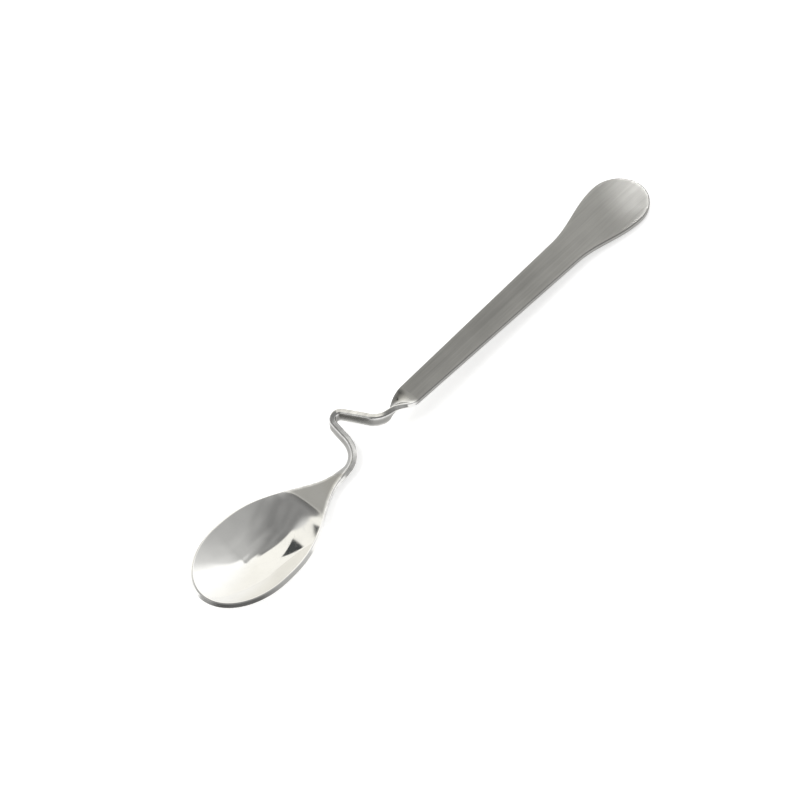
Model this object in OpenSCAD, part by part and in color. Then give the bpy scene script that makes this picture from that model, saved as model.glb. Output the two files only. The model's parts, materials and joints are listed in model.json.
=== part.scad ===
// Hanging coffee spoon, in millimetres.
// One steel strip runs from the tip of the bowl to the end of the handle. It turns on edge in the neck,
// bends sideways into a hook that hangs on the rim of a cup, and turns flat again for the handle.
// +X runs from the bowl to the handle, +Y is the side the hook points to, +Z is up from the table.

/* [Overall] */
// Length from the tip of the bowl to the end of the handle
spoon_length = 128; // [115:1:150]
// Thickness of the steel strip
strip = 1.2; // [0.9:0.05:1.4]
// Rounding along the edges of the strip
edge_radius = 0.3; // [0.15:0.05:0.35]

/* [Bowl] */
// Width of the bowl over its rim
bowl_width = 18.7; // [15:0.1:23]
// Distance from the tip to the widest place of the bowl
bowl_front = 12.7; // [10:0.1:16]
// Distance from the widest place of the bowl to the neck
bowl_back = 24.6; // [20:0.1:29]
// Depth of the hollow below its rim
bowl_depth = 4.0; // [2.4:0.2:5.6]
// Drop from the handle to the rim of the bowl at the neck
bowl_drop = 5.4; // [3:0.1:7]
// Rise of the rim from the neck to the tip
bowl_lift = 1.0; // [0:0.1:3]
// Rise of the rim halfway between the neck and the tip, over that slope
bowl_crown = 1.1; // [0:0.1:2]
// How long the bowl stays wide before it narrows, 1 for a plain cosine curve
bowl_swell = 1.35; // [1:0.05:1.6]

/* [Hook] */
// Width of the strip where it stands on edge
neck_width = 2.75; // [2:0.05:3.4]
// Straight length between the bowl and the first bend
neck_lead = 2.2; // [1:0.1:4]
// Reach of the hook sideways from the line of the handle
hook_reach = 8.7; // [7.5:0.1:12]
// Angle of the leg on the bowl side to the line of the handle
bowl_leg_angle = 84; // [60:1:90]
// Angle of the leg on the handle side to the line of the handle
handle_leg_angle = 73; // [55:1:90]
// Radius of the bend between the bowl and its leg
bowl_bend = 5.0; // [3:0.1:6]
// Radius of the bend at the top of the hook
hook_bend = 1.3; // [1.1:0.1:1.8]
// Radius of the bend between the handle and its leg
handle_bend = 3.3; // [2:0.1:5]

/* [Twists] */
// Length over which the strip turns on edge beside the bowl
bowl_twist_length = 17; // [12:0.2:20]
// Part of that length which lies in the bowl
bowl_twist_start = 6.2; // [4:0.2:9]
// Length over which the strip turns flat again beside the handle
handle_twist_length = 7.6; // [6:0.2:13]
// Part of that length which lies in the handle
handle_twist_end = 5.8; // [3:0.1:8]

/* [Handle] */
// Width of the handle beside the neck
grip_start_width = 4.6; // [3.6:0.1:6]
// Width of the handle where it begins to flare
grip_end_width = 6.8; // [5:0.1:9]
// Width of the paddle at the end of the handle
paddle_width = 12.4; // [9:0.2:16]
// Length of the flare from the grip to the widest place of the paddle
flare_length = 17; // [12:0.5:26]
// Length of the round end beyond the widest place of the paddle
paddle_round = 7; // [4:0.2:10]

/* [Hidden] */

// Facets across the hollow of the bowl, across the strip of the hook and across the handle
bowl_columns = 16;
strip_columns = 4;
handle_columns = 10;
// Rows of facets along the front and the back of the bowl, and along each twist
front_rows = 14;
back_rows = 15;
twist_rows = 14;
// Turn of a bend between two rows of facets, in degrees
bend_step = 7;
// Rows along a straight leg, the straight grip, the flare and the round end
leg_rows = 4;
grip_rows = 3;
flare_rows = 14;
round_rows = 10;
// Directions of the facets that round an edge, paired with the corner they belong to
edge_turns = [[45, 1], [0, 1], [0, -1], [-45, -1]];
edge_points = len(edge_turns);

// Reach of the rounded edge beyond the mid surface, at a rim that leans out as steeply as the hollow
function rim_reach(half) = edge_radius + (strip / 2 - edge_radius) * sin(atan(2 * bowl_depth / half));

// Half sizes of the mid surface inside the rounded edge
bowl_half = bowl_width / 2 - rim_reach(bowl_width / 2);
front_half = bowl_front - rim_reach(bowl_front);
neck_half = neck_width / 2 - edge_radius;
grip_start_half = grip_start_width / 2 - edge_radius;
grip_end_half = grip_end_width / 2 - edge_radius;
paddle_half = paddle_width / 2 - edge_radius;
round_half = paddle_round - edge_radius;
// The hollow runs out this far behind its deepest place, so that front and back meet with one curvature
hollow_back = sqrt(2) * bowl_front;

// Lengths of the two straight legs of the hook
bowl_leg = (hook_reach - (bowl_bend + hook_bend) * (1 - cos(bowl_leg_angle))) / sin(bowl_leg_angle);
handle_leg = (hook_reach - (handle_bend + hook_bend) * (1 - cos(handle_leg_angle))) / sin(handle_leg_angle);
// Length along the strip at the end of the bowl and at each end of a bend
neck_at = bowl_front + bowl_back;
bend1_at = neck_at + neck_lead;
leg1_at = bend1_at + bowl_bend * bowl_leg_angle * PI / 180;
bend2_at = leg1_at + bowl_leg;
leg2_at = bend2_at + hook_bend * (bowl_leg_angle + handle_leg_angle) * PI / 180;
bend3_at = leg2_at + handle_leg;
grip_at = bend3_at + handle_bend * handle_leg_angle * PI / 180;
// Plan positions of the same places
bend1_place = [bend1_at, 0];
leg1_place = bend1_place + bowl_bend * [sin(bowl_leg_angle), 1 - cos(bowl_leg_angle)];
bend2_place = leg1_place + bowl_leg * [cos(bowl_leg_angle), sin(bowl_leg_angle)];
leg2_place = bend2_place + hook_bend * [sin(bowl_leg_angle) + sin(handle_leg_angle),
    cos(handle_leg_angle) - cos(bowl_leg_angle)];
bend3_place = leg2_place + handle_leg * [cos(handle_leg_angle), -sin(handle_leg_angle)];
grip_place = bend3_place + handle_bend * [sin(handle_leg_angle), cos(handle_leg_angle) - 1];
// Length along the strip at the end of the handle, at its widest place and where it begins to flare
end_at = grip_at + spoon_length - grip_place[0];
paddle_at = end_at - paddle_round;
flare_at = paddle_at - flare_length;
// Length along the strip where each twist begins and ends
turn1_at = neck_at - bowl_twist_start;
turn2_end = grip_at + handle_twist_end;
turn2_at = turn2_end - handle_twist_length;
// The strip climbs from the bowl to the handle between these two lengths
climb_at = bend1_at - neck_lead / 2;
climb_end = grip_at + handle_twist_end / 2;

// Soft step from 0 to 1
function ease(t) = (1 - cos(180 * min(1, max(0, t)))) / 2;

// Heading of the strip in plan
function heading(s) =
    s < bend1_at ? 0 :
    s < leg1_at ? (s - bend1_at) / bowl_bend * 180 / PI :
    s < bend2_at ? bowl_leg_angle :
    s < leg2_at ? bowl_leg_angle - (s - bend2_at) / hook_bend * 180 / PI :
    s < bend3_at ? -handle_leg_angle :
    s < grip_at ? -handle_leg_angle + (s - bend3_at) / handle_bend * 180 / PI : 0;

// Place of the middle of the strip in plan
function place(s, a) =
    s < bend1_at ? [s, 0] :
    s < leg1_at ? bend1_place + bowl_bend * [sin(a), 1 - cos(a)] :
    s < bend2_at ? leg1_place + (s - leg1_at) * [cos(a), sin(a)] :
    s < leg2_at ? bend2_place
        + hook_bend * [sin(bowl_leg_angle) - sin(a), cos(a) - cos(bowl_leg_angle)] :
    s < bend3_at ? leg2_place + (s - leg2_at) * [cos(a), sin(a)] :
    s < grip_at ? bend3_place
        + handle_bend * [sin(a) + sin(handle_leg_angle), cos(handle_leg_angle) - cos(a)] :
    grip_place + [s - grip_at, 0];

// Height of the rim line and of the middle of the strip below the handle
function level(s) =
    let (t = min(1, s / neck_at))
    bowl_lift * pow(1 - t, 2) + 4 * bowl_crown * t * (1 - t)
        - bowl_drop * (1 - ease((s - climb_at) / (climb_end - climb_at)));

// Turn of the strip about its own line, 0 flat and 90 on edge
function turn(s) = 90 * ease((s - turn1_at) / bowl_twist_length)
    - 90 * ease((s - turn2_at) / handle_twist_length);

// Half width of the back of the bowl, narrowing to the neck
function bowl_edge(s) = neck_half + (bowl_half - neck_half)
    * (1 + cos(180 * pow(min(1, (s - bowl_front) / bowl_back), bowl_swell))) / 2;

// Half width of the grip, a straight taper, and of the whole handle with its flare
function grip_edge(s) = grip_start_half + (grip_end_half - grip_start_half)
    * min(1, max(0, (s - grip_at) / (flare_at - grip_at)));
function handle_edge(s) = s > flare_at ?
    grip_end_half + (paddle_half - grip_end_half) * ease((s - flare_at) / flare_length) :
    neck_half + (grip_edge(s) - neck_half) * ease((s - turn2_at) / handle_twist_length);
function half_width(s) = s < neck_at ? bowl_edge(s) : handle_edge(s);

// Depth of the hollow along the back of the bowl
function hollow(s) = bowl_depth * pow(1 - pow(min(1, (s - bowl_front) / hollow_back), 2), 2);

function unit(v) = v / norm(v);

// A spot of the mid surface is its place, the direction through the strip and the one out over the edge.
// The argument v runs across the strip from 1 at the +Y edge to -1 at the -Y edge.
function strip_spot(s, v) =
    let (a = heading(s), p = place(s, a), w = half_width(s), d = hollow(s))
    let (side = [-sin(a), cos(a), 0] * cos(turn(s)) - [0, 0, 1] * sin(turn(s)))
    let (top = [-sin(a), cos(a), 0] * sin(turn(s)) + [0, 0, 1] * cos(turn(s)))
    [[p[0], p[1], level(s)] + v * w * side - d * (1 - v * v) * top,
        unit(w * top - 2 * d * v * side), sign(v) * unit(w * side + 2 * d * v * top)];

// The front of the bowl is half an ellipse, its rows bent to follow the tip
function tip_spot(s, v) =
    let (u = 1 - s / bowl_front)
    let (along = -u * sqrt(1 - v * v / 2), across = v * sqrt(1 - u * u / 2))
    let (slope = 2 * bowl_depth * [along / front_half, across / bowl_half])
    let (out = unit([along / front_half, across / bowl_half]))
    [[bowl_front + front_half * along, bowl_half * across,
        level(bowl_front + front_half * along) - bowl_depth * (1 - along * along - across * across)],
        unit([-slope[0], -slope[1], 1]), unit([out[0], out[1], slope * out])];

// The end of the handle is half an ellipse too, and flat
function end_spot(s, v) =
    let (u = (s - paddle_at) / paddle_round)
    let (along = u * sqrt(1 - v * v / 2), across = v * sqrt(1 - u * u / 2))
    [[grip_place[0] + paddle_at - grip_at + round_half * along, grip_place[1] + paddle_half * across, 0],
        [0, 0, 1], unit([along / round_half, across / paddle_half, 0])];

function spot(s, v) = s < bowl_front ? tip_spot(s, v) : s > paddle_at ? end_spot(s, v) : strip_spot(s, v);

// A point on the upper or lower skin, and the points that round an edge from one skin to the other
function skin(f, side) = f[0] + side * strip / 2 * f[1];
function edge(f) = [for (e = edge_turns)
    let (through = e[1] * (strip / 2 - edge_radius) + edge_radius * sin(e[0]))
    f[0] + edge_radius * cos(e[0]) * f[2] + through * f[1]];
function backwards(list) = [for (i = [len(list) - 1 : -1 : 0]) list[i]];

// One closed section of the strip, from the +Y edge over the upper skin and back under the lower skin
function section(s, n) = concat(
    [for (j = [0 : n]) skin(spot(s, 1 - 2 * j / n), 1)],
    edge(spot(s, -1)),
    [for (j = [n : -1 : 0]) skin(spot(s, 1 - 2 * j / n), -1)],
    backwards(edge(spot(s, 1))));

// Rows of facets between two lengths along the strip, without the first one
function rows(from, to, count) = [for (i = [1 : count]) from + (to - from) * i / count];
function bend_rows(from, to, angle) = rows(from, to, ceil(angle / bend_step));

// A length of strip through the given rows; its ends are flat faces, or rounded like the edges
module strip_body(stations, n, round_start = false, round_end = false) {
    size = 2 * (n + 1 + edge_points);
    last = len(stations) - 1;
    skins = [for (s = stations) each section(s, n)];
    ends = [if (round_start) stations[0], if (round_end) stations[last]];
    caps = [for (s = ends, j = [1 : n - 1]) each edge(spot(s, 1 - 2 * j / n))];
    sides = [for (i = [0 : last - 1], k = [0 : size - 1])
        let (next = (k + 1) % size)
        [i * size + k, (i + 1) * size + k, (i + 1) * size + next, i * size + next]];
    // Number of the point in column j and place k over an end, place 0 on the upper skin
    lower = edge_points + 1;
    function end_point(row, j, k) =
        k == 0 ? row * size + j :
        k == lower ? row * size + 2 * n + lower - j :
        j == n ? row * size + n + k :
        j == 0 ? (row + 1) * size - k :
        len(skins) + (j - 1) * edge_points + k - 1;
    function end_face(row, j, from, to) = [end_point(row, j, from), end_point(row, j + 1, from),
        end_point(row, j + 1, to), end_point(row, j, to)];
    function round_end_faces(row) = [for (j = [0 : n - 1], k = [0 : edge_points])
        end_face(row, j, k, k + 1)];
    function flat_end_faces(row) = concat(
        [for (j = [0 : n - 1]) end_face(row, j, 0, lower)],
        [[for (k = [0 : lower]) end_point(row, n, k)]],
        [[for (k = [lower : -1 : 0]) end_point(row, 0, k)]]);
    start_faces = round_start ? round_end_faces(0) : flat_end_faces(0);
    end_faces = round_end ? round_end_faces(last) : flat_end_faces(last);
    faces = concat(sides, start_faces, [for (f = end_faces) backwards(f)]);
    polyhedron(concat(skins, caps), [for (f = faces, i = [1 : len(f) - 2]) [f[0], f[i], f[i + 1]]]);
}

bowl_stations = concat([0], rows(0, bowl_front, front_rows), rows(bowl_front, turn1_at, back_rows));
bowl_twist_stations = concat([turn1_at], rows(turn1_at, bend1_at, twist_rows));
hook_stations = concat([bend1_at], bend_rows(bend1_at, leg1_at, bowl_leg_angle),
    rows(leg1_at, bend2_at, leg_rows),
    bend_rows(bend2_at, leg2_at, bowl_leg_angle + handle_leg_angle),
    rows(leg2_at, bend3_at, leg_rows));
handle_twist_stations = concat([bend3_at], rows(bend3_at, turn2_end, 2 * twist_rows));
handle_stations = concat([turn2_end], rows(turn2_end, flare_at, grip_rows),
    rows(flare_at, paddle_at, flare_rows),
    rows(paddle_at, end_at, round_rows));

// The spoon rests on the end of the handle and on the lowest place of the bowl or the neck
heel = skin(spot(end_at, 0), -1);
feet = concat([for (s = bowl_stations) skin(spot(s, 0), -1)],
    [for (s = concat(bowl_twist_stations, hook_stations)) each edge(spot(s, 1))]);
rest_tilt = max([for (f = feet) atan((heel[2] - f[2]) / (heel[0] - f[0]))]);
function table_x(p) = p[0] * cos(rest_tilt) + p[2] * sin(rest_tilt);
tip_x = min([for (p = edge(spot(0, 0))) table_x(p)]);
end_x = max([for (p = edge(spot(end_at, 0))) table_x(p)]);
heel_z = heel[2] * cos(rest_tilt) - heel[0] * sin(rest_tilt);

// Sets the spoon down on the table, with its middle over the origin
module set_down() {
    translate([-(tip_x + end_x) / 2, 0, -heel_z])
        rotate([0, rest_tilt, 0])
            children();
}

module bowl() {
    color([0.86, 0.87, 0.88])
        set_down()
            strip_body(bowl_stations, bowl_columns, round_start = true);
}

module bowl_twist() {
    color([0.80, 0.80, 0.79])
        set_down()
            strip_body(bowl_twist_stations, bowl_columns);
}

module cup_hook() {
    color([0.76, 0.76, 0.74])
        set_down()
            strip_body(hook_stations, strip_columns);
}

module handle_twist() {
    color([0.72, 0.72, 0.70])
        set_down()
            strip_body(handle_twist_stations, strip_columns);
}

module handle() {
    color([0.66, 0.66, 0.64])
        set_down()
            strip_body(handle_stations, handle_columns, round_end = true);
}

bowl();
bowl_twist();
cup_hook();
handle_twist();
handle();
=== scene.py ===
"""Hanging coffee spoon: steel skins for the five zones of its strip, a pale table and a studio camera."""

import json
import math

import bpy
import numpy as np
from bpy.props import FloatProperty, FloatVectorProperty, PointerProperty
from bpy.types import Operator, Panel, PropertyGroup
from mathutils import Matrix, Vector


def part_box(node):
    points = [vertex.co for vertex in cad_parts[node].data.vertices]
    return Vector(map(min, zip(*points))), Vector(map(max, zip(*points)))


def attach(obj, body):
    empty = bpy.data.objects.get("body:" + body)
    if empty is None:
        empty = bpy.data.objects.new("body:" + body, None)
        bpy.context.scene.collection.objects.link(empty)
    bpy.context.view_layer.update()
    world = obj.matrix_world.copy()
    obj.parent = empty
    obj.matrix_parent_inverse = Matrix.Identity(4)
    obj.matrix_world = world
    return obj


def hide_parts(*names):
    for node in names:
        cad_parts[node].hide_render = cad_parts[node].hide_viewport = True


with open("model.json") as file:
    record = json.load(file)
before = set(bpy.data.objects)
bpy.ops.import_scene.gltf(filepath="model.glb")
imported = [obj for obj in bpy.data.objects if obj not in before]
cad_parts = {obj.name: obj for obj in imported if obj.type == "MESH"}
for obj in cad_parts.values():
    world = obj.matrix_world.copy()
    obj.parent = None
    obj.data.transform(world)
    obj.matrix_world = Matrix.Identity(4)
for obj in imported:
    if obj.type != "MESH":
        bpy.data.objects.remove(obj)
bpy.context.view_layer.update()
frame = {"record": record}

bl_info = {
    "name": "Hanging Coffee Spoon",
    "version": (1, 0, 0),
    "blender": (4, 5, 0),
    "location": "View3D > Sidebar > Spoon",
    "description": "Builds a coffee spoon in polished and satin steel that hangs on the rim of a cup",
    "category": "Add Mesh",
}

MM = 0.001
# The photograph's frame, in pixels across
PICTURE = 800
# Too small to see, it keeps a direction from having no length
NUDGE = 1e-9
WHITE = (1.0, 1.0, 1.0, 1.0)
BLACK = (0.0, 0.0, 0.0)


def length(name, description, millimetres):
    """A length that a user can set, in metres, from its default in millimetres."""
    metres = millimetres * MM
    return FloatProperty(name=name, description=description, default=metres, precision=5, unit="LENGTH")


def angle(name, description, degrees):
    """An angle that a user can set, in radians, from its default in degrees."""
    return FloatProperty(name=name, description=description, default=math.radians(degrees), subtype="ANGLE")


def factor(name, description, value, high=1.0):
    """A plain number that a user can set, from 0 to high."""
    return FloatProperty(name=name, description=description, default=value, min=0.0, max=high)


def colour(name, description, value):
    """A colour that a user can set."""
    return FloatVectorProperty(
        name=name, description=description, default=value, size=3, min=0.0, max=1.0, subtype="COLOR"
    )


class SpoonSizes(PropertyGroup):
    """Sizes of the strip, from the tip of the bowl to the end of the handle."""

    spoon_length: length("Spoon length", "From the tip of the bowl to the end of the handle", 128)
    strip: length("Strip", "Thickness of the steel strip", 1.2)
    edge_radius: length("Edge radius", "Rounding along the edges of the strip", 0.3)
    bowl_width: length("Bowl width", "Width of the bowl over its rim", 18.7)
    bowl_front: length("Bowl front", "From the tip to the widest place of the bowl", 12.7)
    bowl_back: length("Bowl back", "From the widest place of the bowl to the neck", 24.6)
    bowl_depth: length("Bowl depth", "Depth of the hollow below its rim", 3.83)
    hollow_reach: length("Hollow reach", "From the widest place of the bowl to the end of its hollow", 15.9)
    hollow_fullness: factor("Hollow fullness", "How far it stays deep, 2 for an even curve", 3.0, 6.0)
    hollow_softness: factor("Hollow softness", "How softly it runs out, 1 for a sharp crease", 1.5, 4.0)
    bowl_drop: length("Bowl drop", "From the handle down to the rim of the bowl at the neck", 5.4)
    bowl_lift: length("Bowl lift", "Rise of the rim from the neck to the tip", 1.0)
    bowl_crown: length("Bowl crown", "Rise of the rim over that slope, halfway along it", 1.1)
    bowl_swell: factor("Bowl swell", "How long the bowl stays wide, 1 for a plain cosine curve", 1.35, 2.0)
    neck_width: length("Neck width", "Width of the strip where it stands on edge", 2.75)
    neck_lead: length("Neck lead", "Straight length between the bowl and the first bend", 2.2)
    hook_reach: length("Hook reach", "Reach of the hook sideways from the line of the handle", 8.7)
    bowl_leg_angle: angle("Bowl leg angle", "Angle of the leg on the bowl side to the handle", 84)
    handle_leg_angle: angle("Handle leg angle", "Angle of the leg on the handle side to the handle", 73)
    bowl_bend: length("Bowl bend", "Radius of the bend between the bowl and its leg", 5.0)
    hook_bend: length("Hook bend", "Radius of the bend at the top of the hook", 1.3)
    handle_bend: length("Handle bend", "Radius of the bend between the handle and its leg", 3.3)
    bowl_twist_length: length("Bowl twist", "Length over which the strip turns on edge", 17)
    bowl_twist_start: length("Bowl twist start", "Part of that length which lies in the bowl", 6.2)
    handle_twist_length: length("Handle twist", "Length over which the strip turns flat again", 7.6)
    handle_twist_end: length("Handle twist end", "Part of that length which lies in the handle", 5.8)
    grip_start_width: length("Grip start width", "Width of the handle beside the neck", 4.6)
    grip_end_width: length("Grip end width", "Width of the handle where it begins to flare", 6.8)
    paddle_width: length("Paddle width", "Width of the paddle at the end of the handle", 12.4)
    flare_length: length("Flare length", "From the grip to the widest place of the paddle", 17)
    paddle_round: length("Paddle round", "Length of the round end beyond the widest place of the paddle", 7)
    wear_width: length("Wear width", "Width of the band that handling has polished beside an edge", 0.7)


class SteelFinish(PropertyGroup):
    """Colours and gloss of the steel."""

    polished_colour: colour("Polished colour", "Colour of the mirror-polished bowl", (0.88, 0.875, 0.86))
    neck_colour: colour("Neck colour", "Colour of the half-bright neck", (0.32, 0.316, 0.304))
    satin_colour: colour("Satin colour", "Colour of the brushed handle", (0.36, 0.356, 0.344))
    # The paddle's lighter colour is a painted sheen
    paddle_sheen_colour: colour("Paddle colour", "Colour of the paddle, bright from use", (0.40, 0.396, 0.383))
    polished_roughness: factor("Polished roughness", "Roughness of the bowl between its polish marks", 0.04)
    neck_roughness: factor("Neck roughness", "Roughness of the neck between its draw marks", 0.13)
    satin_roughness: factor("Satin roughness", "Roughness of the handle between its brush lines", 0.34)


class StudioSettings(PropertyGroup):
    """Table, lights and camera."""

    table_colour: colour("Table colour", "Colour of the table", (0.90, 0.90, 0.90))
    table_glow: factor("Table glow", "Light that the translucent table gives off by itself", 0.45, 5.0)
    shadow_fill: factor("Shadow fill", "Light that the table adds where it is seen directly", 0.12, 5.0)
    room_colour: colour("Room colour", "Colour of the dim room round the table", (0.30, 0.30, 0.295))
    sheet_colour: colour("Sheet colour", "Colour of the lit sheet beside the table", (1.0, 1.0, 0.985))
    sheet_strength: factor("Sheet strength", "Brightness of the sheet past the handle's end", 1.25, 10.0)
    cream_colour: colour("Cream colour", "Colour of the sheet on the side of the hook", (1.0, 0.985, 0.925))
    cream_strength: factor("Cream strength", "Brightness of the sheet on that side", 1.08, 10.0)
    view_azimuth: angle("View azimuth", "Turn of the camera, from the side away from the hook", 49.09)
    view_elevation: angle("View elevation", "Height of the camera over the plane of the handle", 52.57)
    view_distance: length("View distance", "From the camera to the spoon", 600)


class Strip:
    """The strip by the length along it: its line in plan, its level, its turn, its width and its hollow.

    A place on it is a length from the tip and a share of the half width, 1 on the side of the hook.
    """

    def __init__(self, sizes):
        self.sizes = sizes
        bowl_angle, handle_angle = sizes.bowl_leg_angle, sizes.handle_leg_angle
        self.bowl_half = sizes.bowl_width / 2 - self.rim_reach(sizes.bowl_width / 2)
        self.front_half = sizes.bowl_front - self.rim_reach(sizes.bowl_front)
        self.neck_half = sizes.neck_width / 2 - sizes.edge_radius
        self.grip_start_half = sizes.grip_start_width / 2 - sizes.edge_radius
        self.grip_end_half = sizes.grip_end_width / 2 - sizes.edge_radius
        self.paddle_half = sizes.paddle_width / 2 - sizes.edge_radius
        self.round_half = sizes.paddle_round - sizes.edge_radius
        self.neck_at = sizes.bowl_front + sizes.bowl_back
        self.bend1_at = self.neck_at + sizes.neck_lead
        self.leg1_at = self.bend1_at + sizes.bowl_bend * bowl_angle
        self.bend2_at = self.leg1_at + self.leg_length(sizes.bowl_bend, bowl_angle)
        self.leg2_at = self.bend2_at + sizes.hook_bend * (bowl_angle + handle_angle)
        self.bend3_at = self.leg2_at + self.leg_length(sizes.handle_bend, handle_angle)
        self.grip_at = self.bend3_at + sizes.handle_bend * handle_angle
        # Each run of the line in plan: where it starts, its curvature and its first heading
        self.runs = [
            (0.0, 0.0, 0.0),
            (self.bend1_at, 1 / sizes.bowl_bend, 0.0),
            (self.leg1_at, 0.0, bowl_angle),
            (self.bend2_at, -1 / sizes.hook_bend, bowl_angle),
            (self.leg2_at, 0.0, -handle_angle),
            (self.bend3_at, 1 / sizes.handle_bend, -handle_angle),
            (self.grip_at, 0.0, 0.0),
        ]
        self.places = [np.zeros(2)]
        for (start, curvature, heading), following in zip(self.runs, self.runs[1:]):
            step = self.walk(np.array(following[0] - start), curvature, heading)
            self.places.append(self.places[-1] + step)
        self.end_at = self.grip_at + sizes.spoon_length - self.places[-1][0]
        self.paddle_at = self.end_at - sizes.paddle_round
        self.flare_at = self.paddle_at - sizes.flare_length
        self.turn1_at = self.neck_at - sizes.bowl_twist_start
        self.turn2_end = self.grip_at + sizes.handle_twist_end
        self.turn2_at = self.turn2_end - sizes.handle_twist_length
        self.climb_at = self.bend1_at - sizes.neck_lead / 2
        self.climb_end = self.grip_at + sizes.handle_twist_end / 2

    def rim_reach(self, half):
        """Reach of the rounded edge beyond the mid surface, at a rim that leans out as the hollow does."""
        sizes = self.sizes
        lean = math.atan(2 * sizes.bowl_depth / half)
        return sizes.edge_radius + (sizes.strip / 2 - sizes.edge_radius) * math.sin(lean)

    def leg_length(self, bend, leg_angle):
        """Straight length of a leg of the hook between its bend and the top of the hook."""
        rounds = (bend + self.sizes.hook_bend) * (1 - math.cos(leg_angle))
        return (self.sizes.hook_reach - rounds) / math.sin(leg_angle)

    @staticmethod
    def walk(distance, curvature, heading):
        """Steps in plan after a distance on a straight line or an arc."""
        if curvature == 0:
            return distance[..., None] * np.array([math.cos(heading), math.sin(heading)])
        turned = heading + distance * curvature
        step = [np.sin(turned) - math.sin(heading), math.cos(heading) - np.cos(turned)]
        return np.stack(step, -1) / curvature

    def line(self, at):
        """Heading and place in plan of the middle of the strip."""
        heading = np.zeros_like(at)
        place = np.zeros(at.shape + (2,))
        for (start, curvature, first), origin in zip(self.runs, self.places):
            on = at >= start
            heading[on] = first + (at[on] - start) * curvature
            place[on] = origin + self.walk(at[on] - start, curvature, first)
        return heading, place

    def level(self, at):
        """Height of the rim and of the middle of the strip, below the handle."""
        back = np.clip(at / self.neck_at, None, 1)
        rim = self.sizes.bowl_lift * (1 - back) ** 2 + 4 * self.sizes.bowl_crown * back * (1 - back)
        climbed = ease((at - self.climb_at) / (self.climb_end - self.climb_at))
        return rim - self.sizes.bowl_drop * (1 - climbed)

    def turn(self, at):
        """Turn of the strip about its own line, 0 flat and a quarter turn on edge."""
        on_edge = ease((at - self.turn1_at) / self.sizes.bowl_twist_length)
        flat_again = ease((at - self.turn2_at) / self.sizes.handle_twist_length)
        return math.pi / 2 * (on_edge - flat_again)

    def half_width(self, at):
        """Half width of the mid surface behind the widest place of the bowl."""
        sizes = self.sizes
        narrowing = np.clip((at - sizes.bowl_front) / sizes.bowl_back, 0, 1) ** sizes.bowl_swell
        bowl = mix(self.bowl_half, self.neck_half, ease(narrowing))
        taper = np.clip((at - self.grip_at) / (self.flare_at - self.grip_at), 0, 1)
        grip = mix(self.grip_start_half, self.grip_end_half, taper)
        grip = mix(self.neck_half, grip, ease((at - self.turn2_at) / sizes.handle_twist_length))
        flare = mix(self.grip_end_half, self.paddle_half, ease((at - self.flare_at) / sizes.flare_length))
        return np.where(at < self.neck_at, bowl, np.where(at > self.flare_at, flare, grip))

    def hollow(self, at):
        """Depth of the hollow along the back of the bowl."""
        sizes = self.sizes
        run = np.clip((at - sizes.bowl_front) / sizes.hollow_reach, 0, 1)
        return sizes.bowl_depth * (1 - run**sizes.hollow_fullness) ** sizes.hollow_softness

    def body(self, at, share):
        """Points, through and out directions of the strip between the widest places of bowl and paddle."""
        heading, place = self.line(at)
        turn = self.turn(at)[..., None]
        left = np.stack([-np.sin(heading), np.cos(heading), np.zeros_like(at)], -1)
        up = np.array([0.0, 0.0, 1.0])
        side = left * np.cos(turn) - up * np.sin(turn)
        top = left * np.sin(turn) + up * np.cos(turn)
        half, hollow = self.half_width(at)[..., None], self.hollow(at)[..., None]
        across = share[..., None]
        middle = np.concatenate([place, self.level(at)[..., None]], -1)
        points = middle + across * half * side - hollow * (1 - across**2) * top
        through = unit(half * top - 2 * hollow * across * side)
        out = np.sign(across) * unit(half * side + 2 * hollow * across * top)
        return points, through, out

    def body_spots(self, at, share):
        """The same with normals, those of the edges, the place along and across, and the way to the edge."""
        small_step, small_share = 0.001 * MM, 0.001
        points, through, out = self.body(at, share)
        along = self.body(at + small_step, share)[0] - self.body(at - small_step, share)[0]
        across = self.body(at, share + small_share)[0] - self.body(at, share - small_share)[0]
        normal, edge = unit(np.cross(along, across)), square_to(out, along)
        half = self.half_width(at)
        return points, through, out, normal, edge, at, share * half, (1 - np.abs(share)) * half

    def tip_spots(self, at, share):
        """The front of the bowl, half an ellipse whose rows bend to follow the tip."""
        sizes = self.sizes
        row = 1 - at / sizes.bowl_front
        along, across = -row * np.sqrt(1 - share**2 / 2), share * np.sqrt(1 - row**2 / 2)
        x, y = sizes.bowl_front + self.front_half * along, self.bowl_half * across
        lean = np.stack([along / self.front_half, across / self.bowl_half], -1)
        slope = 2 * sizes.bowl_depth * lean
        # At the widest place the rows run straight across, where the middle has no way out over the edge
        away = unit(lean - [NUDGE, 0.0])
        height = self.level(x) - sizes.bowl_depth * (1 - along**2 - across**2)
        back = x / self.neck_at
        fall = (2 * sizes.bowl_lift * (1 - back) - 4 * sizes.bowl_crown * (1 - 2 * back)) / self.neck_at
        ones = np.ones_like(x)
        through = unit(np.stack([-slope[..., 0], -slope[..., 1], ones], -1))
        out = unit(np.concatenate([away, (slope * away).sum(-1, keepdims=True)], -1))
        normal = unit(np.stack([fall - slope[..., 0], -slope[..., 1], ones], -1))
        edge = square_to(out, np.stack([-away[..., 1], away[..., 0], fall * away[..., 1]], -1))
        rim = (1 - np.hypot(along, across)) * self.bowl_half
        return np.stack([x, y, height], -1), through, out, normal, edge, x, y, rim

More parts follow.
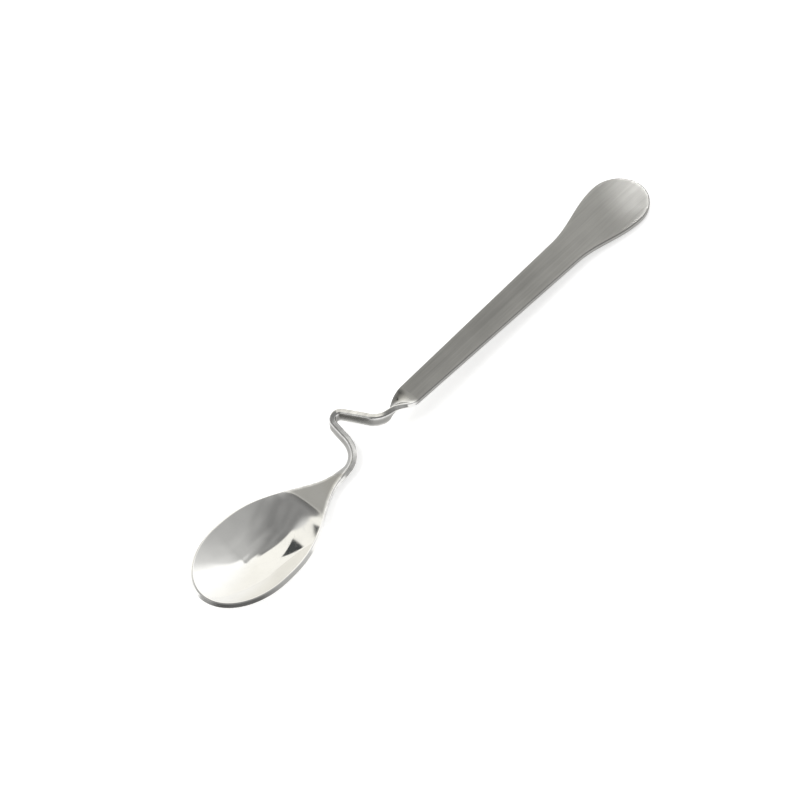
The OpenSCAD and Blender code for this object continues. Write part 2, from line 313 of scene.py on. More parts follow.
    def end_spots(self, at, share):
        """The round end of the handle, half an ellipse and flat."""
        row = (at - self.paddle_at) / self.sizes.paddle_round
        along, across = row * np.sqrt(1 - share**2 / 2), share * np.sqrt(1 - row**2 / 2)
        x = self.places[-1][0] + self.paddle_at - self.grip_at + self.round_half * along
        y, zeros = self.paddle_half * across, np.zeros_like(row)
        up = np.stack([zeros, zeros, zeros + 1], -1)
        away = unit(np.stack([along / self.round_half + NUDGE, across / self.paddle_half, zeros], -1))
        rim = (1 - np.hypot(along, across)) * self.paddle_half
        reach = self.paddle_at + self.round_half * along
        return np.stack([x, y, zeros], -1), up, away, up, away, reach, y, rim

    def spots(self, at, share):
        """Every place along and every share across the mid surface, from its three kinds of surface."""
        front, end = at < self.sizes.bowl_front, at > self.paddle_at
        kinds = [(self.tip_spots, front), (self.body_spots, ~front & ~end), (self.end_spots, end)]
        grids = [kind(*np.meshgrid(at[on], share, indexing="ij")) for kind, on in kinds if on.any()]
        return [np.concatenate(parts) for parts in zip(*grids)]


def ease(share):
    """Soft step from 0 to 1."""
    return (1 - np.cos(np.pi * np.clip(share, 0, 1))) / 2


def mix(first, second, share):
    """A value between two others."""
    return first + (second - first) * share


def unit(vectors):
    """The same directions, one unit long."""
    return vectors / np.linalg.norm(vectors, axis=-1, keepdims=True)


def square_to(vectors, lines):
    """The same directions, turned square to the lines that they stand on."""
    lines = unit(lines)
    return unit(vectors - (vectors * lines).sum(-1, keepdims=True) * lines)


def steps(*places_and_counts):
    """Rows along the strip: a first place, then pairs of a number of steps and the place they lead to."""
    rows = [places_and_counts[0]]
    for count, place in zip(places_and_counts[1::2], places_and_counts[2::2]):
        rows.extend(np.linspace(rows[-1], place, count + 1)[1:])
    return np.array(rows)


def seat(sizes):
    """Turn and shift from the strip's own frame, handle flat, to the frame of the CAD part as it rests."""
    mounts = frame["record"]["mounts"]
    axis = next(mount["axis"] for mount in mounts if mount["name"] == "handle_top")
    turn = Matrix.Rotation(math.atan2(axis[0], axis[2]), 3, "Y")
    low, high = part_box("handle")
    end = turn @ Vector((sizes.spoon_length, 0, sizes.strip / 2 - sizes.edge_radius))
    heel = turn @ Vector((sizes.spoon_length - sizes.edge_radius, 0, -sizes.strip / 2))
    return turn, Vector((high.x - end.x, 0, low.z - heel.z))


class Skin:
    """Mesh of one zone of the strip: closed rings along it, with flat or rounded ends."""

    # Steps round each corner of the strip's section
    CORNER_STEPS = 8

    def __init__(self, strip, rows, columns, round_start=False, round_end=False):
        self.strip, self.columns = strip, columns
        self.last = len(rows) - 1
        falls = [math.pi / 2 * (1 - step / self.CORNER_STEPS) for step in range(1, self.CORNER_STEPS + 1)]
        # Rounding of an edge, from the upper to the lower skin: angles, and the side of their corner
        self.bends = [(fall, 1) for fall in falls] + [(-fall, -1) for fall in reversed(falls)]
        self.lower = len(self.bends) + 1
        self.ring = 2 * (columns + 1 + len(self.bends))
        self.rounded = [row for row, there in ((0, round_start), (self.last, round_end)) if there]
        self.points, self.normals, self.marks = [], [], []
        self.grid = strip.spots(rows, np.linspace(1, -1, columns + 1))
        for row in range(self.last + 1):
            self.add_ring(row)
        for row in self.rounded:
            for column in range(1, columns):
                self.add_edge(row, column, self.bends)
        self.sides = [self.side(row, place) for row in range(self.last) for place in range(self.ring)]
        self.sides += [face for row in self.rounded for face in self.round_faces(row)]
        flat = [row for row in (0, self.last) if row not in self.rounded]
        self.caps = [face for row in flat for face in self.flat_faces(row)]

    def add_skin(self, row, columns, side):
        """Points of the upper or the lower skin, in the order of the columns."""
        points, through, _, normal, _, along, across, rim = [values[row, columns] for values in self.grid]
        half = self.strip.sizes.strip / 2
        self.points.append(points + side * half * through)
        self.normals.append(side * normal)
        worn = np.clip(1 - rim / self.strip.sizes.wear_width, 0, 1)
        self.marks.append(np.stack([along, across, np.full_like(along, side * half), worn], -1))

    def add_edge(self, row, column, bends):
        """Points that round the edge at one place, in the order of the bends."""
        point, through, out, normal, edge, along, across, _ = [values[row, column] for values in self.grid]
        sizes = self.strip.sizes
        for bend, side in bends:
            height = side * (sizes.strip / 2 - sizes.edge_radius) + sizes.edge_radius * math.sin(bend)
            reach = sizes.edge_radius * math.cos(bend)
            self.points.append([point + reach * out + height * through])
            self.normals.append([unit(math.cos(bend) * edge + math.sin(bend) * normal)])
            self.marks.append([[along, across, height, 1.0]])

    def add_ring(self, row):
        """One closed section, over the upper skin and back under the lower one."""
        forth = np.arange(self.columns + 1)
        self.add_skin(row, forth, 1)
        self.add_edge(row, self.columns, self.bends)
        self.add_skin(row, forth[::-1], -1)
        self.add_edge(row, 0, self.bends[::-1])

    def side(self, row, place):
        """Face between two rings."""
        first, following = row * self.ring, (place + 1) % self.ring
        return [first + following, first + self.ring + following, first + self.ring + place, first + place]

    def end_point(self, row, column, place):
        """Number of the point at a column and a place over an end, place 0 on the upper skin."""
        if place == 0:
            return row * self.ring + column
        if place == self.lower:
            return row * self.ring + 2 * self.columns + self.lower - column
        if column == self.columns:
            return row * self.ring + self.columns + place
        if column == 0:
            return (row + 1) * self.ring - place
        before = (self.last + 1) * self.ring + self.rounded.index(row) * (self.columns - 1) * len(self.bends)
        return before + (column - 1) * len(self.bends) + place - 1

    def face(self, row, spots):
        """A face over an end, turned outwards."""
        corners = [self.end_point(row, column, place) for column, place in spots]
        return corners[::-1] if row == 0 else corners

    def patch(self, row, column, upper, lower):
        """Face over an end, between two columns and two places."""
        return self.face(row, [(column, upper), (column + 1, upper), (column + 1, lower), (column, lower)])

    def round_faces(self, row):
        """Faces of an end that is rounded as the edges are."""
        spots = [(column, place) for column in range(self.columns) for place in range(self.lower)]
        return [self.patch(row, column, place, place + 1) for column, place in spots]

    def flat_faces(self, row):
        """Faces of an end that meets the next zone."""
        faces = [self.patch(row, column, 0, self.lower) for column in range(self.columns)]
        faces.append(self.face(row, [(self.columns, place) for place in range(self.lower + 1)]))
        faces.append(self.face(row, [(0, place) for place in range(self.lower, -1, -1)]))
        return faces

    def mesh(self, name):
        """The Blender mesh, seated where the CAD part rests, with true normals and strip coordinates."""
        turn, shift = seat(self.strip.sizes)
        turn = np.array(turn)
        points = np.concatenate(self.points) @ turn.T + np.array(shift)
        normals = np.concatenate(self.normals) @ turn.T
        marks = np.concatenate(self.marks)
        mesh = bpy.data.meshes.new(name)
        mesh.from_pydata(points.tolist(), [], self.sides + self.caps)
        mesh.polygons.foreach_set("use_smooth", np.ones(len(mesh.polygons), bool))
        corners = np.zeros(len(mesh.loops), int)
        mesh.loops.foreach_get("vertex_index", corners)
        corner_normals = normals[corners]
        for cap in mesh.polygons[len(self.sides):]:
            corner_normals[cap.loop_start:cap.loop_start + cap.loop_total] = cap.normal
        mesh.normals_split_custom_set(corner_normals.tolist())
        place = mesh.attributes.new("strip_place", "FLOAT_VECTOR", "POINT")
        place.data.foreach_set("vector", marks[:, :3].astype(np.float32).ravel())
        worn = mesh.attributes.new("worn", "FLOAT", "POINT")
        worn.data.foreach_set("value", marks[:, 3].astype(np.float32))
        return mesh


class Graph:
    """Fills the node tree of a material, a world or a group."""

    # Between two nodes in the editor
    SPACING = 180

    def __init__(self, tree):
        self.tree = tree
        tree.nodes.clear()

    def add(self, kind, inputs=None, **settings):
        """A node with its settings, its values and the sockets that lead into it."""
        node = self.tree.nodes.new(kind)
        node.location = (self.SPACING * len(self.tree.nodes), 0)
        for name, value in settings.items():
            setattr(node, name, value)
        for name, value in (inputs or {}).items():
            if isinstance(value, bpy.types.NodeSocket):
                self.tree.links.new(value, node.inputs[name])
            else:
                node.inputs[name].default_value = value
        return node

    def math(self, operation, first, second=0.0):
        """An operation on one or two values."""
        return self.add("ShaderNodeMath", {0: first, 1: second}, operation=operation).outputs[0]

    def remap(self, value, low, high, new_low=0.0, new_high=1.0, curve="LINEAR"):
        """A value moved from one range to another and kept inside it."""
        inputs = {"Value": value, "From Min": low, "From Max": high, "To Min": new_low, "To Max": new_high}
        return self.add("ShaderNodeMapRange", inputs, interpolation_type=curve).outputs["Result"]

    def soft_step(self, value, start, end):
        """0 at the start, 1 at the end and smooth between, whichever of the two is higher."""
        return self.remap(value, start, end, curve="SMOOTHSTEP")

    def product(self, *values):
        """All the values multiplied."""
        result = values[0]
        for value in values[1:]:
            result = self.math("MULTIPLY", result, value)
        return result

    def blend(self, share, first, second):
        """A colour between two others."""
        inputs = {"Factor": share, "A": first, "B": second}
        return self.add("ShaderNodeMix", inputs, data_type="VECTOR", clamp_factor=True).outputs["Result"]

    def lean(self, value, other, share):
        """A value plus a share of another."""
        return self.math("ADD", value, self.product(other, share))

    def noise(self, vector, scale, detail=2.0, roughness=0.5):
        """Noise between 0 and 1."""
        inputs = {"Vector": vector, "Scale": scale, "Detail": detail, "Roughness": roughness}
        return self.add("ShaderNodeTexNoise", inputs).outputs["Fac"]

    def stretch(self, vector, scale):
        """A vector or a colour multiplied, by one value or part by part."""
        return self.add("ShaderNodeVectorMath", {0: vector, 1: scale}, operation="MULTIPLY").outputs[0]


def shader_group(fill, values):
    """The shader node group from a place and some values to a mask, built once by the function fill."""
    name = fill.__name__.replace("_", " ").title()
    found = bpy.data.node_groups.get(name)
    if found:
        return found
    tree = bpy.data.node_groups.new(name, "ShaderNodeTree")
    tree.interface.new_socket(name="Place", in_out="INPUT", socket_type="NodeSocketVector")
    for value in values:
        tree.interface.new_socket(name=value, in_out="INPUT", socket_type="NodeSocketFloat")
    tree.interface.new_socket(name="Mask", in_out="OUTPUT", socket_type="NodeSocketFloat")
    graph = Graph(tree)
    given = graph.add("NodeGroupInput").outputs
    graph.add("NodeGroupOutput", {"Mask": fill(graph, given)})
    return tree


def brush_lines(graph, given):
    """Fine lines along the strip, as a belt leaves them."""
    reach = graph.math("DIVIDE", 1.0, given["Reach"])
    spread = graph.math("DIVIDE", 1.0, given["Spacing"])
    scale = graph.add("ShaderNodeCombineXYZ", {"X": reach, "Y": spread, "Z": spread}).outputs[0]
    stretched = graph.stretch(given["Place"], scale)
    coarse = graph.noise(stretched, 1.0, 2.0, 0.6)
    fine = graph.noise(stretched, 3.3, 3.0, 0.7)
    both = graph.lean(graph.product(coarse, 0.55), fine, 0.45)
    return graph.remap(both, 0.32, 0.68)


def polish_marks(graph, given):
    """Hair-fine marks in a few directions, as cloth and washing leave them."""
    marks = 0.0
    drawn_out = graph.stretch((0.05, 1.0, 1.0), given["Density"])
    for turn in (0.35, 1.3, 2.45):
        inputs = {"Vector": given["Place"], "Angle": turn}
        turned = graph.add("ShaderNodeVectorRotate", inputs).outputs[0]
        waves = graph.noise(graph.stretch(turned, drawn_out), 1.0, 1.0)
        off_middle = graph.math("ABSOLUTE", graph.math("SUBTRACT", waves, 0.5))
        hair = graph.remap(off_middle, 0.0, 0.012, 1.0, 0.0)
        marks = graph.math("MAXIMUM", hair, marks)
    patches = graph.remap(graph.noise(given["Place"], 260.0), 0.42, 0.62)
    return graph.product(marks, patches)


def haze(graph, given):
    """Broad, soft differences in gloss, as fingers and a polishing wheel leave them."""
    size = graph.math("DIVIDE", 1.0, given["Size"])
    return graph.remap(graph.noise(given["Place"], size, 3.0, 0.55), 0.35, 0.68)


def edge_wear(graph, given):
    """Steel that handling has polished, in an uneven band beside the edges."""
    uneven = graph.remap(graph.noise(given["Place"], 900.0, 3.0), 0.3, 0.7, 0.55, 1.0)
    return graph.product(graph.math("POWER", given["Worn"], 1.6), uneven)


def pits(graph, given):
    """Small dark pits, far apart."""
    scale = graph.math("DIVIDE", 1.0, given["Spacing"])
    cells = graph.add("ShaderNodeTexVoronoi", {"Vector": given["Place"], "Scale": scale})
    dot = graph.remap(cells.outputs["Distance"], 0.02, 0.05, 1.0, 0.0)
    number = graph.add("ShaderNodeSeparateColor", {0: cells.outputs["Color"]}).outputs[0]
    chosen = graph.math("GREATER_THAN", number, 0.55)
    return graph.product(dot, chosen)


class Steel(Graph):
    """A steel material: its shader, and the strip's own coordinates to draw marks by."""

    def __init__(self, name):
        self.material = bpy.data.materials.new(name)
        self.material.use_nodes = True
        super().__init__(self.material.node_tree)
        self.place = self.add("ShaderNodeAttribute", attribute_name="strip_place").outputs["Vector"]
        parts = self.add("ShaderNodeSeparateXYZ", {0: self.place}).outputs
        self.along, self.across = parts["X"], parts["Y"]
        self.worn = self.add("ShaderNodeAttribute", attribute_name="worn").outputs["Fac"]
        self.solid = self.add("ShaderNodeTexCoord").outputs["Object"]

    def effect(self, fill, place, **values):
        """The mask of a shared effect, with its own values in this material."""
        tree = shader_group(fill, values)
        return self.add("ShaderNodeGroup", {"Place": place, **values}, node_tree=tree).outputs["Mask"]

    def span(self, start, full_at, fade_at, end):
        """A length of the strip with a soft start and a soft end."""
        rising = self.soft_step(self.along, start, full_at)
        return self.product(rising, self.soft_step(self.along, end, fade_at))

    def total(self, start, *shares):
        """A value plus a share of each mask, kept between 0 and 1."""
        value = start
        for mask, share in shares:
            value = self.lean(value, mask, share)
        return self.add("ShaderNodeClamp", {"Value": value, "Min": 0.0, "Max": 1.0}).outputs[0]

    def shade(self, colour, *shares):
        """A steel colour that goes darker by a share of each mask."""
        return self.stretch(colour, self.math("SUBTRACT", 1.0, self.total(0.0, *shares)))

    def finish(self, colour, roughness, height, bump):
        """Joins the masks to the shader."""
        relief = {"Height": height, "Strength": bump, "Distance": 0.01 * MM}
        normal = self.add("ShaderNodeBump", relief).outputs["Normal"]
        inputs = {"Base Color": colour, "Metallic": 1.0, "Roughness": roughness, "Normal": normal}
        shader = self.add("ShaderNodeBsdfPrincipled", inputs).outputs["BSDF"]
        self.add("ShaderNodeOutputMaterial", {"Surface": shader})
        return self.material


def polished_steel(steel, finish, strip):
    """Mirror polish of the bowl, with hair-fine marks and a little haze, up to the end of the hollow."""
    marks = steel.effect(polish_marks, steel.solid, Density=2600.0)
    soft = steel.effect(haze, steel.solid, Size=6 * MM)
    wear = steel.effect(edge_wear, steel.solid, Worn=steel.worn)
    # The mirror goes soft a little before the hollow ends, where the steel takes on the colour of the neck
    hollow_end = strip.sizes.bowl_front + strip.sizes.hollow_reach
    rougher = steel.soft_step(steel.along, hollow_end - 7.5 * MM, hollow_end - 2.5 * MM)
    dull = steel.soft_step(steel.along, hollow_end - 1.5 * MM, hollow_end + 0.5 * MM)
    tint = steel.blend(dull, finish.polished_colour, finish.neck_colour)
    tint = steel.blend(wear, tint, finish.polished_colour)
    colour = steel.shade(tint, (soft, 0.05), (marks, 0.04))
    to_neck = finish.neck_roughness - finish.polished_roughness
    shares = [(rougher, to_neck), (soft, 0.04), (marks, 0.10), (wear, 0.05)]
    roughness = steel.total(finish.polished_roughness, *shares)
    height = steel.total(0.4, (marks, -0.4), (soft, 0.3))
    return steel.finish(colour, roughness, height, bump=0.08)


def neck_steel(steel, finish, strip):
    """Half-bright neck with draw marks and polished edges, which runs into the brushed handle."""
    lines = steel.effect(brush_lines, steel.place, Reach=5 * MM, Spacing=0.12 * MM)
    soft = steel.effect(haze, steel.solid, Size=4 * MM)
    wear = steel.effect(edge_wear, steel.solid, Worn=steel.worn)
    brushed = steel.soft_step(steel.along, strip.turn2_end - 1.5 * MM, strip.turn2_end)
    # On the second twist, the side away from the hook is polished and carries a painted highlight, and the
    # crease on the other side carries painted shade
    start, end = strip.grip_at, strip.turn2_end
    bright = steel.product(
        steel.span(start, start + 2 * MM, end - 2.5 * MM, end - 0.5 * MM),
        steel.soft_step(steel.across, 0.9 * MM, -0.9 * MM),
    )
    # Painted shade in the crease of the twist, on the side of the hook
    crease = steel.product(
        steel.span(start, start + 1.5 * MM, end - 2 * MM, end + 0.5 * MM),
        steel.soft_step(steel.across, 0.2 * MM, 1.6 * MM),
    )
    # Edge wear and the painted highlight of the twist both blend towards the polished colour
    polish = steel.total(0.0, (bright, 0.8), (wear, 1.0))
    tint = steel.blend(polish, finish.neck_colour, finish.polished_colour)
    tint = steel.blend(brushed, tint, finish.satin_colour)
    # Darker by draw marks and haze, and by the painted shade in the crease
    colour = steel.shade(tint, (lines, 0.10), (soft, 0.08), (crease, 0.6))
    to_satin = finish.satin_roughness - finish.neck_roughness
    shares = [(brushed, to_satin), (bright, -0.06), (lines, 0.08), (soft, 0.06), (wear, -0.05)]
    return steel.finish(colour, steel.total(finish.neck_roughness, *shares), lines, bump=0.12)


def satin_steel(steel, finish, strip):
    """Brushed handle, with lines along it, a few pits, edges that handling has polished, and a paddle
    lighter by a painted sheen.
    """
    lines = steel.effect(brush_lines, steel.place, Reach=14 * MM, Spacing=0.16 * MM)
    streaks = steel.effect(brush_lines, steel.place, Reach=60 * MM, Spacing=1.6 * MM)
    soft = steel.effect(haze, steel.solid, Size=9 * MM)
    wear = steel.effect(edge_wear, steel.solid, Worn=steel.worn)
    holes = steel.effect(pits, steel.solid, Spacing=4 * MM)
    # Painted shade: the half on the side of the hook is darker, up to the flare
    painted_hook_half_shade = steel.product(
        steel.soft_step(steel.across, -0.4 * MM, 0.4 * MM),
        steel.soft_step(steel.along, strip.flare_at + 6 * MM, strip.flare_at - 10 * MM),
    )
    # Painted sheen: the handle grows lighter towards the end of the paddle
    painted_paddle_sheen = steel.soft_step(steel.along, strip.turn2_end + 25 * MM, strip.end_at)
    tint = steel.blend(painted_paddle_sheen, finish.satin_colour, finish.paddle_sheen_colour)
    shades = [(lines, 0.10), (streaks, 0.10), (soft, 0.05), (holes, 0.35), (painted_hook_half_shade, 0.10)]
    shares = [(lines, 0.12), (streaks, 0.05), (soft, 0.05), (wear, -0.14)]
    roughness = steel.total(finish.satin_roughness, *shares)
    height = steel.total(0.5, (lines, 0.5), (holes, -0.5))
    return steel.finish(steel.shade(tint, *shades), roughness, height, bump=0.25)


STEELS = {"polished_steel": polished_steel, "neck_steel": neck_steel, "satin_steel": satin_steel}
# Faces across each zone of the strip
BOWL_COLUMNS = 56
HOOK_COLUMNS = 16
TURN_COLUMNS = 20
HANDLE_COLUMNS = 40


def steel_of(slot, finish, strip):
    """The steel of a material slot, made once for all its pieces."""
    name = slot.replace("_", " ").title()
    return bpy.data.materials.get(name) or STEELS[slot](Steel(name), finish, strip)


def add_object(name, data):
    """Puts a mesh, a lamp or a camera in the scene."""
    added = bpy.data.objects.new(name, data)
    bpy.context.scene.collection.objects.link(added)
    return added


def add_piece(name, node, slot, skin):
    """Puts a zone of the strip in the scene, in the steel of its slot and in place of its CAD node."""
    piece = add_object(name, skin.mesh(name))
    piece.data.materials.append(steel_of(slot, bpy.context.scene.spoon_finish, skin.strip))
    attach(piece, "root")
    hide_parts(node)


class SPOON_OT_bowl(Operator):
    """Builds the polished bowl, from its tip to the first twist"""

    bl_idname = "spoon.bowl"
    bl_label = "Bowl"

    def execute(self, context):
        strip = Strip(context.scene.spoon_sizes)
        rows = steps(0.0, 48, strip.sizes.bowl_front, 56, strip.turn1_at)
        add_piece("bowl_shell", "bowl", "polished_steel", Skin(strip, rows, BOWL_COLUMNS, round_start=True))
        return {"FINISHED"}


class SPOON_OT_twists(Operator):
    """Builds the two twists, beside the bowl and beside the handle"""

    bl_idname = "spoon.twists"
    bl_label = "Twists"

    def execute(self, context):
        strip = Strip(context.scene.spoon_sizes)
        rows = steps(strip.turn1_at, 44, strip.bend1_at)
        add_piece("bowl_shoulder", "bowl_twist", "polished_steel", Skin(strip, rows, BOWL_COLUMNS))
        rows = steps(strip.bend3_at, 64, strip.turn2_end)
        add_piece("handle_shoulder", "handle_twist", "neck_steel", Skin(strip, rows, TURN_COLUMNS))
        return {"FINISHED"}


class SPOON_OT_hook(Operator):
    """Builds the hook that hangs on the rim of a cup"""

    bl_idname = "spoon.hook"
    bl_label = "Hook"

    def execute(self, context):
        strip = Strip(context.scene.spoon_sizes)
        rows = steps(
            strip.bend1_at, 42, strip.leg1_at, 10, strip.bend2_at, 72, strip.leg2_at, 12, strip.bend3_at
        )
        add_piece("hook_strip", "cup_hook", "neck_steel", Skin(strip, rows, HOOK_COLUMNS))
        return {"FINISHED"}


class SPOON_OT_handle(Operator):
    """Builds the brushed handle with its flare and round end"""

    bl_idname = "spoon.handle"
    bl_label = "Handle"

    def execute(self, context):
        strip = Strip(context.scene.spoon_sizes)
        rows = steps(strip.turn2_end, 40, strip.flare_at, 48, strip.paddle_at, 40, strip.end_at)
        add_piece("handle_blade", "handle", "satin_steel", Skin(strip, rows, HANDLE_COLUMNS, round_end=True))
        return {"FINISHED"}


def pale_table(studio):
    """Matt pale table that glows a little, with a faint grain."""
    material = bpy.data.materials.new("Pale Table")
    material.use_nodes = True
    graph = Graph(material.node_tree)
    where = graph.add("ShaderNodeTexCoord").outputs["Object"]
    grain = graph.remap(graph.noise(where, 90.0, 4.0), 0.3, 0.7, 0.985, 1.0)
    inputs = {
        "Base Color": graph.stretch(studio.table_colour, grain),
        "Roughness": 0.9,
        "Specular IOR Level": 0.1,
        "Emission Color": WHITE,
        "Emission Strength": studio.table_glow,
    }
    table = graph.add("ShaderNodeBsdfPrincipled", inputs).outputs["BSDF"]
    # The shadow is filled a little where the table itself is seen
    fill = graph.add("ShaderNodeEmission", {"Color": WHITE, "Strength": studio.shadow_fill}).outputs[0]
    filled = graph.add("ShaderNodeAddShader", {0: table, 1: fill}).outputs[0]
    seen = graph.add("ShaderNodeLightPath").outputs["Is Camera Ray"]
    shown = graph.add("ShaderNodeMixShader", {0: seen, 1: table, 2: filled}).outputs[0]
    graph.add("ShaderNodeOutputMaterial", {"Surface": shown})
    return material


def add_table(studio):
    """A wide round table top at the height that the spoon rests on."""
    radius, sides = 2.5, 96
    turns = np.linspace(0, 2 * math.pi, sides, endpoint=False)
    rim = [(radius * math.cos(turn), radius * math.sin(turn), 0.0) for turn in turns]
    mesh = bpy.data.meshes.new("table_top")
    mesh.from_pydata(rim, [], [list(range(sides))])
    mesh.materials.append(pale_table(studio))
    table = add_object("table_top", mesh)


def add_light(name, kind, place, aim, **settings):
    """A lamp at a place, turned to the spot that it lights, in metres."""
    lamp = bpy.data.lights.new(name, kind)
    for setting, value in settings.items():
        setattr(lamp, setting, value)
    light = add_object(name, lamp)
    light.location = place
    light.rotation_mode = "QUATERNION"
    light.rotation_quaternion = (Vector(place) - Vector(aim)).to_track_quat("Z", "Y")
    return light


def add_lights():
    """A square light over the bowl, which brightens the table, and a small spot on the end of the handle."""
    side, radiance = 0.3, 4.6
    size = {"size": side, "energy": radiance * math.pi * side**2}
    high = add_light("high_light", "AREA", (-0.284, 0.153, 0.53), (-0.048, 0.0, 0.0), **size)
    # The bowl mirrors only the sheet and the room
    high.visible_glossy = False
    cone = {"spot_size": math.radians(3.8), "spot_blend": 1.0, "shadow_soft_size": 3 * MM, "energy": 0.62}
    add_light("end_spot", "SPOT", (0.245, 0.14, 0.27), (0.067, -0.002, 0.002), **cone)


class Room(Graph):
    """A grey room with a lit sheet on two sides of the table, drawn by the direction that it is seen in."""

    # Depth of a ray, between that after one mirror and that after two
    ONE_MIRROR = 2.5

    def __init__(self, studio):
        self.studio = studio
        self.world = bpy.data.worlds.new("Studio Room")
        self.world.use_nodes = True
        super().__init__(self.world.node_tree)
        self.direction = self.add("ShaderNodeTexCoord").outputs["Generated"]
        way = self.add("ShaderNodeSeparateXYZ", {0: self.direction}).outputs
        # Degrees round from the end of the handle to the side that the hook points to, and up from the table
        self.azimuth = self.math("DEGREES", self.math("ARCTAN2", way["Y"], way["X"]))
        self.elevation = self.math("DEGREES", self.math("ARCSINE", way["Z"]))
        self.ray = self.add("ShaderNodeLightPath").outputs
        # Where the bowl mirrors its own wall, the sheet is taken to be whole and to reach higher
        mirrored = self.math("GREATER_THAN", self.ray["Ray Depth"], self.ONE_MIRROR)
        self.again = self.product(self.ray["Is Glossy Ray"], mirrored)
        # The sheet hangs highest past the end of the handle, and comes down in two steps towards the bowl
        first_step = self.remap(self.azimuth, 14, 26, 0.0, 3.5)
        second_step = self.remap(self.azimuth, 36, 46, 0.0, 4.5)
        falling = self.math("ADD", self.math("ADD", self.elevation, first_step), second_step)
        self.falling = self.lean(falling, self.again, -18.0)

    def slanted(self, slant, start, end):
        """A soft edge that leans as it rises, by a share of the elevation."""
        return self.soft_step(self.lean(self.azimuth, self.elevation, slant), start, end)

    def towards(self, azimuth, start, end):
        """A soft round part of the room about a level direction, from and to a cosine of the angle to it."""
        turn = math.radians(azimuth)
        inputs = {0: self.direction, 1: (math.cos(turn), math.sin(turn), 0.0)}
        cosine = self.add("ShaderNodeVectorMath", inputs, operation="DOT_PRODUCT").outputs["Value"]
        return self.soft_step(cosine, start, end)

    def sheet(self):
        """The lit sheet, past the end of the handle and along the side of the hook."""
        soft_end = self.soft_step(self.azimuth, -26, -8)
        slanted_end = self.slanted(-1.0, -61, -51)
        bowl_end = self.soft_step(self.azimuth, 100, 94)
        upper_edge = self.soft_step(self.falling, 63, 60)
        return self.product(soft_end, slanted_end, bowl_end, upper_edge)

    def opening(self):
        """A dark opening in the sheet, with three slanted edges."""
        edges = [self.slanted(0.5, 79.5, 81), self.slanted(-1.0, 45, 46.5), self.slanted(-0.25, 76.3, 75.3)]
        return self.product(*edges, self.math("SUBTRACT", 1.0, self.again))

    def spill(self):
        """Light of the sheet on the wall beside it."""
        nearer = self.math("POWER", self.remap(self.azimuth, -110, -10), 1.8)
        beside = self.soft_step(self.azimuth, 50, 5)
        return self.product(nearer, beside, self.soft_step(self.elevation, 85, 40))

    def dim_strip(self):
        """A dim strip over the upper edge of the sheet, on the side of the hook."""
        lower_edge, upper_edge = self.soft_step(self.falling, 60, 63), self.soft_step(self.falling, 78, 68)
        return self.product(self.soft_step(self.azimuth, 45, 75), lower_edge, upper_edge)

    def pale_wall(self):
        """A paler part of the room beside the bowl, on the side of the hook."""
        return self.product(self.towards(122, 0.3, 0.7), self.soft_step(self.elevation, 58, 44))

    def dark_wall(self):
        """The dark part of the room, low beyond the tip of the bowl."""
        return self.product(self.towards(-163, -0.1, 0.45), self.soft_step(self.elevation, 42, 16))

    def colour(self):
        """Everything that the steel mirrors."""
        studio = self.studio
        white = studio.sheet_colour * studio.sheet_strength
        cream = studio.cream_colour * studio.cream_strength
        waves = self.noise(self.stretch(self.direction, (1.0, 1.0, 0.4)), 3.2, 1.0)
        seen = self.stretch(studio.room_colour, self.remap(waves, 0.3, 0.7, 0.82, 1.18))
        # Each part of the room, how much it covers, and its colour
        parts = [
            (self.spill(), 0.6, white),
            (self.dim_strip(), 0.25, BLACK),
            (self.pale_wall(), 0.5, white),
            (self.dark_wall(), 0.55, BLACK),
            (self.sheet(), 1.0, self.blend(self.soft_step(self.azimuth, 10, 55), white, cream)),
            (self.opening(), 0.94, (0.0, 0.005, 0.01)),
        ]
        for part, share, paint in parts:
            seen = self.blend(self.product(part, share), seen, paint)
        return seen

    def show(self):
        """Lights the scene, with a white surround where the camera sees past the table."""
        light = self.add("ShaderNodeBackground", {"Color": self.colour()}).outputs[0]
        surround = self.add("ShaderNodeBackground", {"Color": WHITE}).outputs[0]
        inputs = {0: self.ray["Is Camera Ray"], 1: light, 2: surround}
        both = self.add("ShaderNodeMixShader", inputs).outputs[0]
        self.add("ShaderNodeOutputWorld", {"Surface": both})
        bpy.context.scene.world = self.world


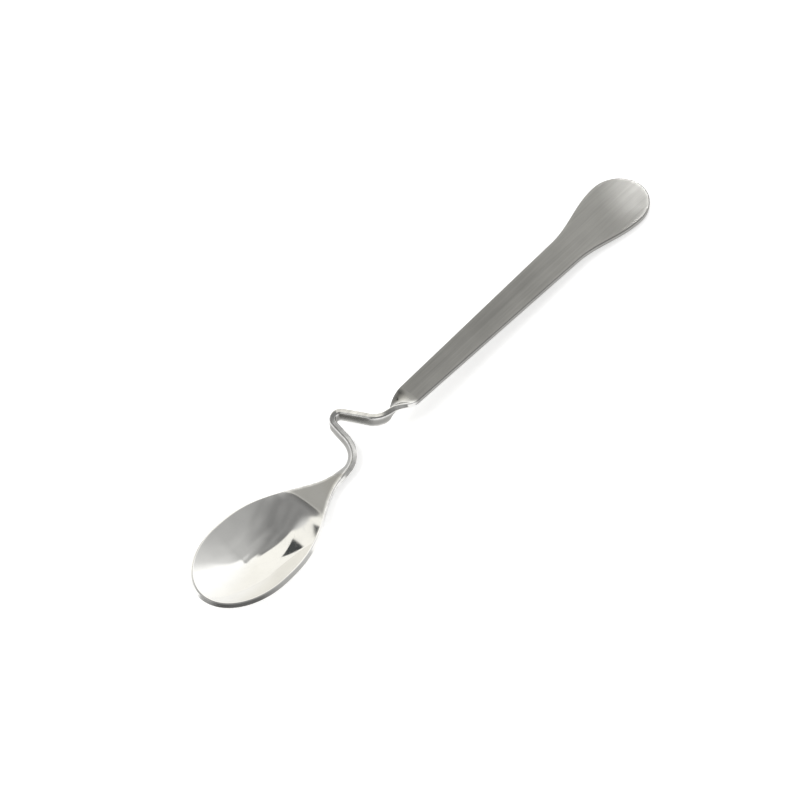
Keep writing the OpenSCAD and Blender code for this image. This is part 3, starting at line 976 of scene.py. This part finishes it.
def add_camera(sizes, studio):
    """A long lens at the photograph's angle, set by the plane of the handle."""
    # A point on the top of the handle's plane, where it lies in the picture, and the picture's scale there
    aim = Vector((57.1 * MM, 0, sizes.strip / 2))
    aim_pixel = (406.84, 395.7)
    pixels_per_metre = 5280.0
    turn, shift = seat(sizes)
    azimuth, elevation = studio.view_azimuth, studio.view_elevation
    right = Vector((math.cos(azimuth), -math.sin(azimuth), 0))
    level = Vector((-math.sin(azimuth), -math.cos(azimuth), 0))
    back = level * math.cos(elevation) + Vector((0, 0, math.sin(elevation)))
    up = back.cross(right)
    beside = right * (PICTURE / 2 - aim_pixel[0]) / pixels_per_metre
    above = up * (aim_pixel[1] - PICTURE / 2) / pixels_per_metre
    place = aim + beside + above + back * studio.view_distance
    lens = bpy.data.cameras.new("studio_camera")
    lens.sensor_width = 36.0
    lens.lens = pixels_per_metre * studio.view_distance * lens.sensor_width / PICTURE
    camera = add_object("studio_camera", lens)
    axes = Matrix((turn @ right, turn @ up, turn @ back)).transposed()
    camera.matrix_world = Matrix.LocRotScale(turn @ place + shift, axes.to_quaternion(), None)
    bpy.context.scene.camera = camera


class SPOON_OT_studio(Operator):
    """Builds the table, the lights and the camera"""

    bl_idname = "spoon.studio"
    bl_label = "Studio"

    def execute(self, context):
        scene = context.scene
        add_table(scene.spoon_studio)
        Room(scene.spoon_studio).show()
        add_lights()
        add_camera(scene.spoon_sizes, scene.spoon_studio)
        scene.view_settings.view_transform = "Standard"
        return {"FINISHED"}


PIECES = (SPOON_OT_bowl, SPOON_OT_twists, SPOON_OT_hook, SPOON_OT_handle, SPOON_OT_studio)


class SPOON_PT_builder(Panel):
    """Sizes, finishes and pieces of the spoon"""

    bl_label = "Hanging Coffee Spoon"
    bl_idname = "SPOON_PT_builder"
    bl_space_type = "VIEW_3D"
    bl_region_type = "UI"
    bl_category = "Spoon"

    def draw(self, context):
        scene = context.scene
        for settings in (scene.spoon_sizes, scene.spoon_finish, scene.spoon_studio):
            box = self.layout.box()
            for name in settings.__annotations__:
                box.prop(settings, name)
        for piece in PIECES:
            self.layout.operator(piece.bl_idname)


CLASSES = (SpoonSizes, SteelFinish, StudioSettings, *PIECES, SPOON_PT_builder)


def register():
    for kind in CLASSES:
        bpy.utils.register_class(kind)
    bpy.types.Scene.spoon_sizes = PointerProperty(type=SpoonSizes)
    bpy.types.Scene.spoon_finish = PointerProperty(type=SteelFinish)
    bpy.types.Scene.spoon_studio = PointerProperty(type=StudioSettings)


def unregister():
    del bpy.types.Scene.spoon_studio
    del bpy.types.Scene.spoon_finish
    del bpy.types.Scene.spoon_sizes
    for kind in reversed(CLASSES):
        bpy.utils.unregister_class(kind)


def main():
    register()
    bpy.ops.spoon.bowl()
    bpy.ops.spoon.twists()
    bpy.ops.spoon.hook()
    bpy.ops.spoon.handle()
    bpy.ops.spoon.studio()


if __name__ == "__main__":
    main()
